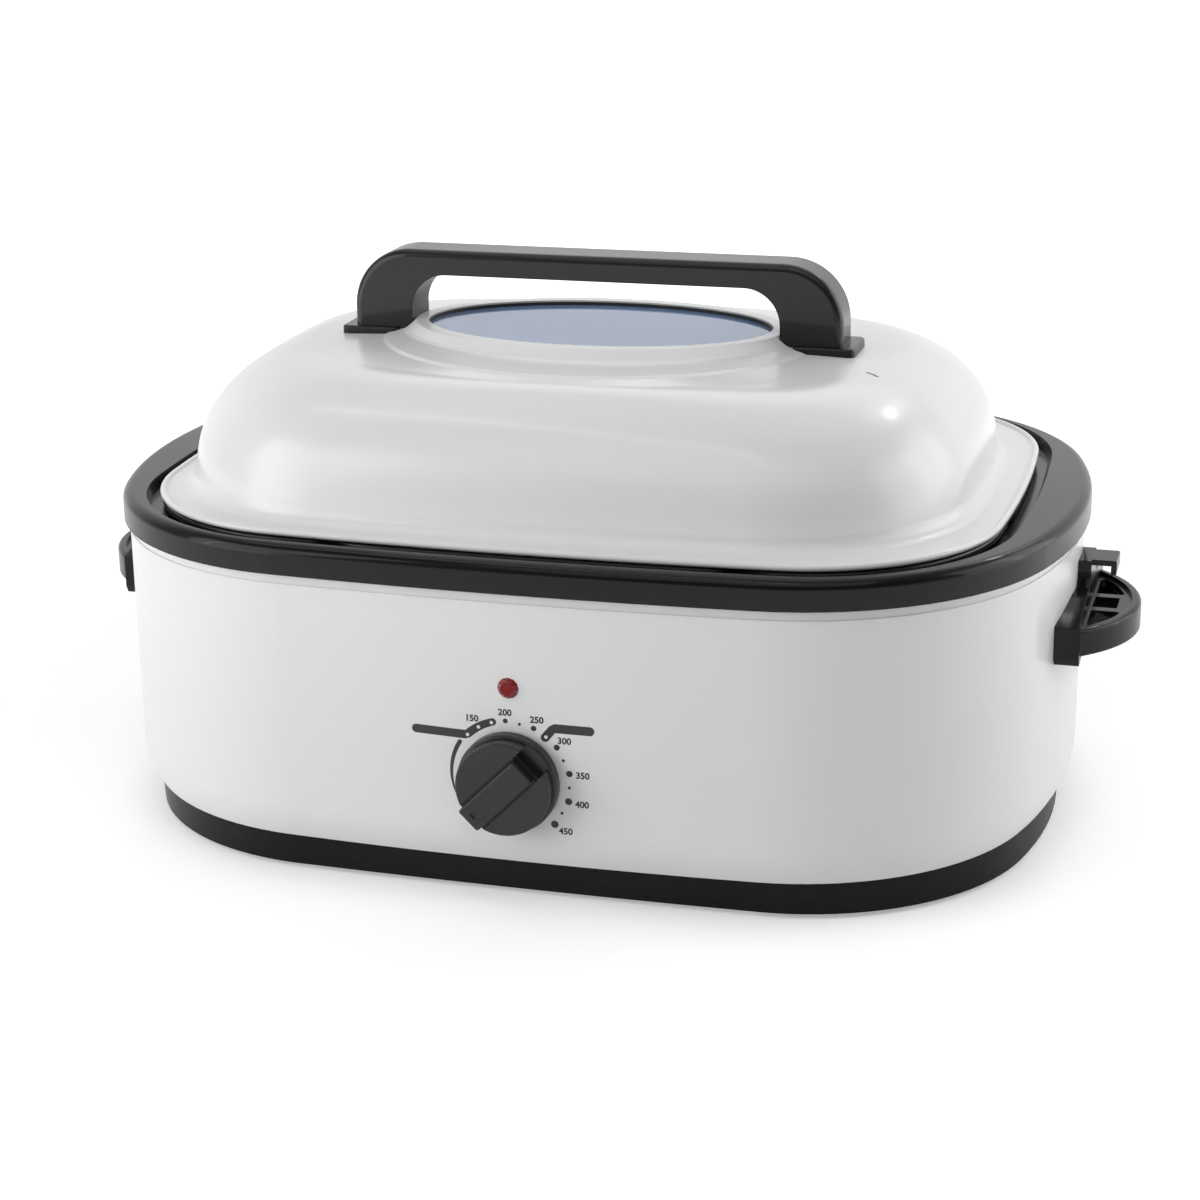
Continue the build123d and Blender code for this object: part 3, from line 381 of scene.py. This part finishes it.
def clear(name, colour, smear, through, ribs=0.0, index=1.5):
    """Clear plastic or glass.

    smear is the range of the roughness, through the share of light that passes, ribs the scale of
    the ribs, if there are any, and index the index of refraction.
    """
    material, tree, shader = new_material(name)
    place = add(tree, "TexCoord").outputs["Object"]
    film = add(
        tree, "TexNoise", {"Vector": place, "Scale": FILM_SCALE, "Detail": 3.0, "Distortion": 0.4}
    ).outputs["Fac"]
    haze = add(tree, "MapRange", {"Value": film, "To Min": smear[0], "To Max": smear[1]})
    pale = tuple(min(1.0, value * FILM_LIFT) for value in colour)
    tint = mix_colours(tree, film, colour, pale)
    tree.links.new(tint, shader.inputs["Base Color"])
    tree.links.new(haze.outputs["Result"], shader.inputs["Roughness"])
    shader.inputs["Transmission Weight"].default_value = through
    shader.inputs["IOR"].default_value = index
    if ribs:
        wave = add(tree, "TexWave", {"Vector": place, "Scale": ribs}, bands_direction="Z")
        height = wave.outputs["Fac"]
        bump = add(tree, "Bump", {"Height": height, "Strength": 0.7, "Distance": RIB_DEPTH})
        tree.links.new(bump.outputs["Normal"], shader.inputs["Normal"])
    return material


GLASS = clear("tinted_glass", (0.31, 0.47, 0.78), (0.02, 0.05), 0.5, index=1.38)
LENS = clear("red_lens", (0.55, 0.004, 0.010), (0.04, 0.12), 0.6, ribs=260.0)
print("clear materials:", GLASS.name, LENS.name)

# %% [markdown]
# ## Finishes on the CAD parts
# A CAD part whose shape is right stays as it is and only takes a material. The record already
# says which finish slot each part belongs to, so one table from slot to material dresses them all.

# %% Dress the CAD nodes
FINISHES = {
    "white_enamel": WHITE,
    "black_enamel": BLACK_RIM,
    "pan_enamel": PAN,
    "base_black": BASE,
    "handle_black": HANDLE,
    "lid_handle_black": LID_HANDLE,
    "knob_black": KNOB,
    "tinted_glass": GLASS,
    "black_rubber": RUBBER,
    "rack_chrome": CHROME,
    "zinc_steel": ZINC,
    "red_lens": LENS,
    "heater_ribbon": RIBBON,
    "glass_wool": WOOL,
    "ceramic": CERAMIC,
    "copper_tube": COPPER,
    "lead_sleeve": SLEEVE,
    "lamp_plastic": NYLON,
}
for subpart in frame["record"]["subparts"]:
    mesh = nodes[subpart["node"]].data
    mesh.materials.clear()
    mesh.materials.append(FINISHES[subpart["material_slot"]])

# %% [markdown]
# ## A skin of ink on a bowed wall
# The temperature scale is pad printed: a film of ink a few hundredths of a millimetre thick that
# follows the wall. The wall's front is part of a large round wall, so a print can be drawn flat in
# x and z first and then laid on that curve. It could be a texture, but a thin closed skin keeps
# its crisp edge at any distance.

# %% Wall
WALL_RADIUS = 1927 * MM
WALL_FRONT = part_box("outer_shell")[0][1]
KNOB_HEIGHT = 70 * MM
INK_PROUD = 0.05 * MM  # how far the ink stands out of the wall
INK_SUNK = 0.15 * MM  # how far its closed skin reaches into the wall
WELD_DISTANCE = 0.001 * MM


def on_wall(x, z, proud):
    """The point of the front wall at x and z, moved outwards by proud."""
    bow = WALL_RADIUS - math.sqrt(WALL_RADIUS**2 - x**2)
    return Vector((x, WALL_FRONT + bow - proud, z))


def finish_print(name, shape, ink):
    """Turns a bmesh into a piece that rides on the housing."""
    bmesh.ops.remove_doubles(shape, verts=shape.verts, dist=WELD_DISTANCE)
    bmesh.ops.recalc_face_normals(shape, faces=shape.faces)
    mesh = bpy.data.meshes.new(name)
    shape.to_mesh(mesh)
    shape.free()
    mesh.materials.append(ink)
    piece = bpy.data.objects.new(name, mesh)
    scene.collection.objects.link(piece)
    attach(piece, "housing")
    return piece


print("wall front at y =", round(WALL_FRONT, 4))

# %% [markdown]
# ## Strokes with round ends
# Dots, pills and the tapering arc are all one thing: a stroke whose half width may change on the
# way, with a round cap at each end. A dot is a stroke of no length. Each station of the stroke
# gives a left and a right point, each once on the ink and once in the wall, and neighbouring
# stations are joined into a closed skin.

# %% Strokes
CAP_STEPS = 8  # stations in the quarter turn on each side of a cap


def stations(path):
    """Centre, direction and half width along a path of (x, z, half width), with round caps."""
    points = [Vector((x, z)) for x, z, _ in path]
    last = len(path) - 1
    found = []
    for index, (_, _, half) in enumerate(path):
        before = points[max(index - 1, 0)]
        after = points[min(index + 1, last)]
        along = (after - before).normalized() if after != before else Vector((1, 0))
        ends = []
        if index == 0:
            ends += [step / CAP_STEPS - 1 for step in range(CAP_STEPS)]
        ends.append(0)
        if index == last:
            ends += [(step + 1) / CAP_STEPS for step in range(CAP_STEPS)]
        for end in ends:
            turn = end * math.pi / 2
            centre = points[index] + along * half * math.sin(turn)
            found.append((centre, along, half * max(math.cos(turn), 0.0)))
    return found


def add_stroke(shape, path, proud=INK_PROUD):
    """Adds one closed stroke to a bmesh; the path is in metres about the knob's middle."""
    rows = []
    for centre, along, half in stations(path):
        aside = Vector((-along.y, along.x)) * half
        left, right = centre + aside, centre - aside
        row = []
        for point, depth in ((left, proud), (right, proud), (right, -INK_SUNK), (left, -INK_SUNK)):
            row.append(shape.verts.new(on_wall(point.x, KNOB_HEIGHT + point.y, depth)))
        rows.append(row)
    for near, far in zip(rows, rows[1:]):
        for side in range(len(near)):
            after = (side + 1) % len(near)
            shape.faces.new((near[side], far[side], far[after], near[after]))


def polar(radius_mm, degrees):
    """A point of the scale from its radius and its angle anticlockwise from +X."""
    angle = math.radians(degrees)
    return radius_mm * MM * math.cos(angle), radius_mm * MM * math.sin(angle)


print("cap steps:", CAP_STEPS)

# %% [markdown]
# ## The temperature scale
# The scale runs clockwise over the knob's turn with one mark for every 25 degrees of heat. Marks
# for the full fifties are larger and grow with the heat, and a tapering arc leads up to the
# lowest ones from the off position. Ink is matt and slightly uneven, so it takes the same kind of
# material as rubber. Sizes on the scale are in millimetres about the knob's middle.

# %% Scale marks
MARK_200 = 93.3  # where the mark for 200 stands, in degrees anticlockwise from +X
MARK_STEP = -13.67  # from each mark to the next, 25 degrees of heat further on
MARK_RADIUS = 31.9
BIG_DOT = 1.3  # half width of the mark for 200
DOT_GROWTH = 0.0028  # what each further degree of heat adds to it
BIG_HEATS = (200, 250, 300, 350, 400, 450)
SMALL_DOT = 0.8
SMALL_DOT_RADIUS = 31.2
SMALL_HEATS = (225, 325, 375, 425)

INK = dull("scale_ink", (0.018, 0.018, 0.019), (0.03, 0.03, 0.031), 1800.0, 0.004, 0.45)
INK_WHITE = dull("scale_white", (0.78, 0.78, 0.78), (0.82, 0.82, 0.82), 1800.0, 0.004, 0.4)


def mark_angle(heat):
    """The angle of the mark for a heat, anticlockwise from +X."""
    return MARK_200 + MARK_STEP * (heat - 200) / 25


def mark(heat, half_mm, radius_mm=MARK_RADIUS):
    """The dot for a heat, as a stroke of one station."""
    x, z = polar(radius_mm, mark_angle(heat))
    return [(x, z, half_mm * MM)]


dots = bmesh.new()
for heat in BIG_HEATS:
    add_stroke(dots, mark(heat, BIG_DOT + DOT_GROWTH * (heat - 200)))
for heat in SMALL_HEATS:
    add_stroke(dots, mark(heat, SMALL_DOT, SMALL_DOT_RADIUS))
finish_print("scale_dots", dots, INK)
print("marks from", round(mark_angle(200), 1), "to", round(mark_angle(450), 1), "degrees")

# %% Scale arc
ARC_STEPS = 24
ARC_RADIUS, ARC_CLOSING = 32.2, 1.7  # its radius at the thick end, and how much it loses
ARC_FROM, ARC_SWEEP = 145, 62  # its thick end and its length in degrees
ARC_HALF_WIDTH, ARC_THINNING = 1.15, 0.95
THINNING_POWER = 1.5  # above 1, most of the thinning comes near the thin end

arc = bmesh.new()
taper = []
for step in range(ARC_STEPS + 1):
    share = step / ARC_STEPS
    x, z = polar(ARC_RADIUS - ARC_CLOSING * share, ARC_FROM + ARC_SWEEP * share)
    taper.append((x, z, (ARC_HALF_WIDTH - ARC_THINNING * share**THINNING_POWER) * MM))
add_stroke(arc, taper)
finish_print("scale_arc", arc, INK)
print("arc over", ARC_SWEEP, "degrees")

# %% [markdown]
# ## Pills
# Two ranges of the scale sit in dark pills, here left blank of words, with a white dot for each
# mark. A pill is one stroke too. The left one runs straight and then follows the ring of marks,
# the right one climbs away from its mark and then runs level. The white dots lie on the pills, so
# they stand out twice as far.

# %% Scale pills
WARM_FROM, WARM_BEND = (-49.8, 23.4), (-23.6, 22.7)
WARM_HALF_WIDTH, WARM_STEPS = 2.3, 10
RING_FROM, RING_SWEEP, RING_STEPS = 133.4, 27.6, 8  # the bent part, in degrees along the ring
RING_HALF_WIDTH, RING_THINNING = 2.25, 0.3
THAW_CLIMB = ((18.9, 24.7), (22.6, 29.2), 2.25, 4)  # start, end, half width, steps
THAW_LEVEL = ((24.2, 30.0), (42.2, 29.9), 2.4, 8)
PILL_HEATS = (125, 150, 175, 275)
PILL_DOT, PILL_DOT_RADIUS = 0.95, 31.7


def straight(start, end, half_mm, count):
    """Stations along a straight run between two points in millimetres."""
    run = []
    for step in range(count + 1):
        share = step / count
        x = start[0] + (end[0] - start[0]) * share
        z = start[1] + (end[1] - start[1]) * share
        run.append((x * MM, z * MM, half_mm * MM))
    return run


warm = straight(WARM_FROM, WARM_BEND, WARM_HALF_WIDTH, WARM_STEPS)
for step in range(RING_STEPS + 1):
    x, z = polar(MARK_RADIUS, RING_FROM - RING_SWEEP * step / RING_STEPS)
    warm.append((x, z, (RING_HALF_WIDTH - RING_THINNING * step / RING_STEPS) * MM))
thaw = straight(*THAW_CLIMB) + straight(*THAW_LEVEL)
pills = bmesh.new()
add_stroke(pills, warm)
add_stroke(pills, thaw)
finish_print("scale_pills", pills, INK)

white_dots = bmesh.new()
for heat in PILL_HEATS:
    add_stroke(white_dots, mark(heat, PILL_DOT, PILL_DOT_RADIUS), proud=2 * INK_PROUD)
finish_print("scale_pill_dots", white_dots, INK_WHITE)
print("white dots at", PILL_HEATS)

# %% [markdown]
# ## Numbers
# A text object gives the digits as outlines. Turned into a mesh, its points are moved onto the
# bowed wall like every other stroke, so the digits stay a real skin of ink. A small offset of the
# outline makes the plain font bold.

# %% Numbers
DIGIT_HEIGHT = 3.3 * MM
FONT_CAP_SHARE = 0.69  # height of a digit in the built-in font, as a share of its size
BOLDER_BY = 0.15 * MM
NUMBER_PLACES = {  # middle of each number in millimetres about the knob's middle
    150: (-19.7, 31.6),
    200: (-2.0, 36.2),
    250: (14.7, 33.6),
    300: (28.9, 23.5),
    350: (38.2, 5.6),
    400: (37.7, -10.1),
    450: (28.9, -25.4),
}


def number_mesh(text):
    """The digits as a thin flat mesh in the XY plane, centred on the origin."""
    outline = bpy.data.curves.new("digits_" + text, "FONT")
    outline.body = text
    outline.size = DIGIT_HEIGHT / FONT_CAP_SHARE
    outline.offset = BOLDER_BY
    outline.extrude = (INK_PROUD + INK_SUNK) / 2
    outline.align_x = "CENTER"
    outline.align_y = "CENTER"
    outline.resolution_u = 4
    carrier = bpy.data.objects.new("digits_" + text, outline)
    scene.collection.objects.link(carrier)
    bpy.context.view_layer.update()
    settled = carrier.evaluated_get(bpy.context.evaluated_depsgraph_get())
    mesh = bpy.data.meshes.new_from_object(settled)
    bpy.data.objects.remove(carrier)
    bpy.data.curves.remove(outline)
    return mesh


digits = bmesh.new()
for heat, (middle_x, middle_z) in NUMBER_PLACES.items():
    flat = number_mesh(str(heat))
    for vertex in flat.vertices:
        x, z, depth = vertex.co
        depth += (INK_PROUD - INK_SUNK) / 2
        vertex.co = on_wall(x + middle_x * MM, KNOB_HEIGHT + z + middle_z * MM, depth)
    digits.from_mesh(flat)
    bpy.data.meshes.remove(flat)
finish_print("scale_numbers", digits, INK)
print("numbers:", list(NUMBER_PLACES))

# %% [markdown]
# ## Floor and backdrop
# A white studio has no horizon: the floor runs into the backdrop. Here the floor is a wide pale
# sheet that bends up far behind the oven. Its own colour is pale, and where a lens, a mirror or
# glass looks at it, it also glows: a little near the oven, where the shadow has to stay, and up
# to full white further out.

# %% Backdrop
FLOOR_REACH = 6.0  # how far the floor runs to each side and to the front
FLOOR_BACK = 3.2  # where it starts to bend up behind the oven
BEND_RADIUS, BEND_STEPS = 1.6, 16
BACKDROP_HEIGHT = 5.0
FLOOR_GREY, FLOOR_ROUGHNESS = 0.90, 0.9
GLOW_NEAR, GLOW_FAR = 0.34, 1.0
NEAR, FAR = 0.45, 1.1  # distances from the oven's middle at which the glow starts and stops growing


def make_backdrop():
    """A pale sheet: flat under the oven, then bent up in a wide curve far behind it."""
    outline = [(-FLOOR_REACH, 0.0), (FLOOR_BACK, 0.0)]
    for step in range(1, BEND_STEPS + 1):
        angle = math.pi / 2 * step / BEND_STEPS
        y = FLOOR_BACK + BEND_RADIUS * math.sin(angle)
        outline.append((y, BEND_RADIUS * (1 - math.cos(angle))))
    outline.append((FLOOR_BACK + BEND_RADIUS, BACKDROP_HEIGHT))
    shape = bmesh.new()
    sides = (-FLOOR_REACH, FLOOR_REACH)
    rows = [[shape.verts.new((x, y, z)) for x in sides] for y, z in outline]
    for near, far in zip(rows, rows[1:]):
        shape.faces.new((near[0], near[1], far[1], far[0])).smooth = True
    mesh = bpy.data.meshes.new("backdrop")
    shape.to_mesh(mesh)
    shape.free()
    sheet = bpy.data.objects.new("backdrop", mesh)
    scene.collection.objects.link(sheet)
    return sheet


def looking_rays(tree):
    """One for rays of the camera, a mirror or glass; nothing for the light that a surface sends."""
    rays = add(tree, "LightPath").outputs
    camera_or_mirror = add(
        tree, "Math", {0: rays["Is Camera Ray"], 1: rays["Is Glossy Ray"]}, operation="MAXIMUM"
    ).outputs[0]
    all_three = add(
        tree, "Math", {0: camera_or_mirror, 1: rays["Is Transmission Ray"]}, operation="MAXIMUM"
    )
    return all_three.outputs[0]


def backdrop_paint():
    """Matt pale paint that glows only for the rays that look at it."""
    material, tree, shader = new_material("backdrop_paint")
    place = add(tree, "TexCoord").outputs["Object"]
    away = add(tree, "VectorMath", {0: place}, operation="LENGTH").outputs["Value"]
    glow = add(
        tree, "MapRange",
        {"Value": away, "From Min": NEAR, "From Max": FAR, "To Min": GLOW_NEAR, "To Max": GLOW_FAR},
    ).outputs["Result"]
    lift = add(tree, "Math", {0: looking_rays(tree), 1: glow}, operation="MULTIPLY")
    shader.inputs["Base Color"].default_value = (FLOOR_GREY, FLOOR_GREY, FLOOR_GREY, 1)
    shader.inputs["Roughness"].default_value = FLOOR_ROUGHNESS
    shader.inputs["Specular IOR Level"].default_value = 0.0
    shader.inputs["Emission Color"].default_value = (1, 1, 1, 1)
    tree.links.new(lift.outputs[0], shader.inputs["Emission Strength"])
    return material


backdrop = make_backdrop()
backdrop.data.materials.append(backdrop_paint())
print("backdrop:", [round(value, 2) for value in backdrop.dimensions])

# %% [markdown]
# ## Light
# Big soft boxes stand left and right, so the glossy white wall shows a bright left corner, a
# darker middle and a bright right end. Others hang in front, overhead and behind for the lid. Two
# narrow strips put a soft bright line on the lid and on the left corner, and a small box gives
# the right shoulder of the lid its one bright spot. The sum of all of them is set so that white
# paint comes out as the paint it is, not as burnt-out paper.

# %% Lamps
SOFT_BOXES = [  # name, place, size, watts
    ("left_box", (-1.0, -0.9, 0.55), (1.0, 1.1), 10.0),
    ("right_box", (1.2, 0.1, 0.5), (0.7, 0.9), 4.2),
    ("right_back_box", (1.7, 1.0, 0.8), (1.0, 1.4), 9.0),
    ("left_back_box", (-1.8, 0.8, 0.8), (1.0, 1.4), 1.5),
    ("front_box", (0.4, -1.6, 2.2), (2.6, 1.6), 13.5),
    ("top_box", (0.0, 0.3, 2.2), (1.8, 1.2), 4.5),
    ("back_box", (0.0, 1.6, 1.8), (2.0, 1.0), 6.8),
    ("edge_strip", (-0.35, -0.45, 1.7), (1.8, 0.07), 2.4),
    ("left_strip", (-1.5, -0.9, 0.6), (0.06, 1.2), 0.8),
    ("glint_box", (0.71, 0.99, 1.31), (0.22, 0.1), 1.4),
]
LAMP_AIM = Vector((0.0, 0.0, 0.14))


def soft_box(name, place, size, power):
    """A rectangular soft light that looks at the middle of the oven."""
    lamp = bpy.data.lights.new(name, "AREA")
    lamp.shape = "RECTANGLE"
    lamp.size, lamp.size_y = size
    lamp.energy = power
    light = bpy.data.objects.new(name, lamp)
    scene.collection.objects.link(light)
    light.visible_camera = False
    light.location = place
    light.rotation_mode = "QUATERNION"
    light.rotation_quaternion = (LAMP_AIM - Vector(place)).to_track_quat("-Z", "Y")
    return light


for name, place, size, watts in SOFT_BOXES:
    soft_box(name, place, size, watts)

# %% [markdown]
# ## The room
# Besides the lamps, the walls of a studio send a little light from all sides. A lens or glass that
# looks past the backdrop finds them white. A glossy surface finds them white behind the oven and
# dim on the camera's side, as in a studio whose lamps all face the object, and this keeps the
# upright black faces black.

# %% World
ROOM_LIGHT = 0.10  # what the walls send from all sides
CAMERA_SIDE = 0.12  # how bright a glossy surface finds the camera's side; white is 1
DIM_TO, WHITE_FROM = -0.4, 0.85  # how far back a direction points: -1 is front, 1 is back

world = bpy.data.worlds.new("studio")
scene.world = world
world.use_nodes = True
walls = world.node_tree
sky = walls.nodes["Background"]
glossy = add(walls, "LightPath").outputs["Is Glossy Ray"]
heading = add(walls, "TexCoord").outputs["Generated"]
backwards = add(walls, "SeparateXYZ", {"Vector": heading}).outputs["Y"]
mirrored = add(
    walls, "MapRange",
    {
        "Value": backwards, "From Min": DIM_TO, "From Max": WHITE_FROM,
        "To Min": CAMERA_SIDE, "To Max": 1.0,
    },
).outputs["Result"]
colour = mix_colours(walls, glossy, (1, 1, 1), mirrored)
strength = add(
    walls, "MapRange", {"Value": looking_rays(walls), "To Min": ROOM_LIGHT, "To Max": 1.0}
).outputs["Result"]
walls.links.new(colour, sky.inputs["Color"])
walls.links.new(strength, sky.inputs["Strength"])
print("room light:", ROOM_LIGHT)
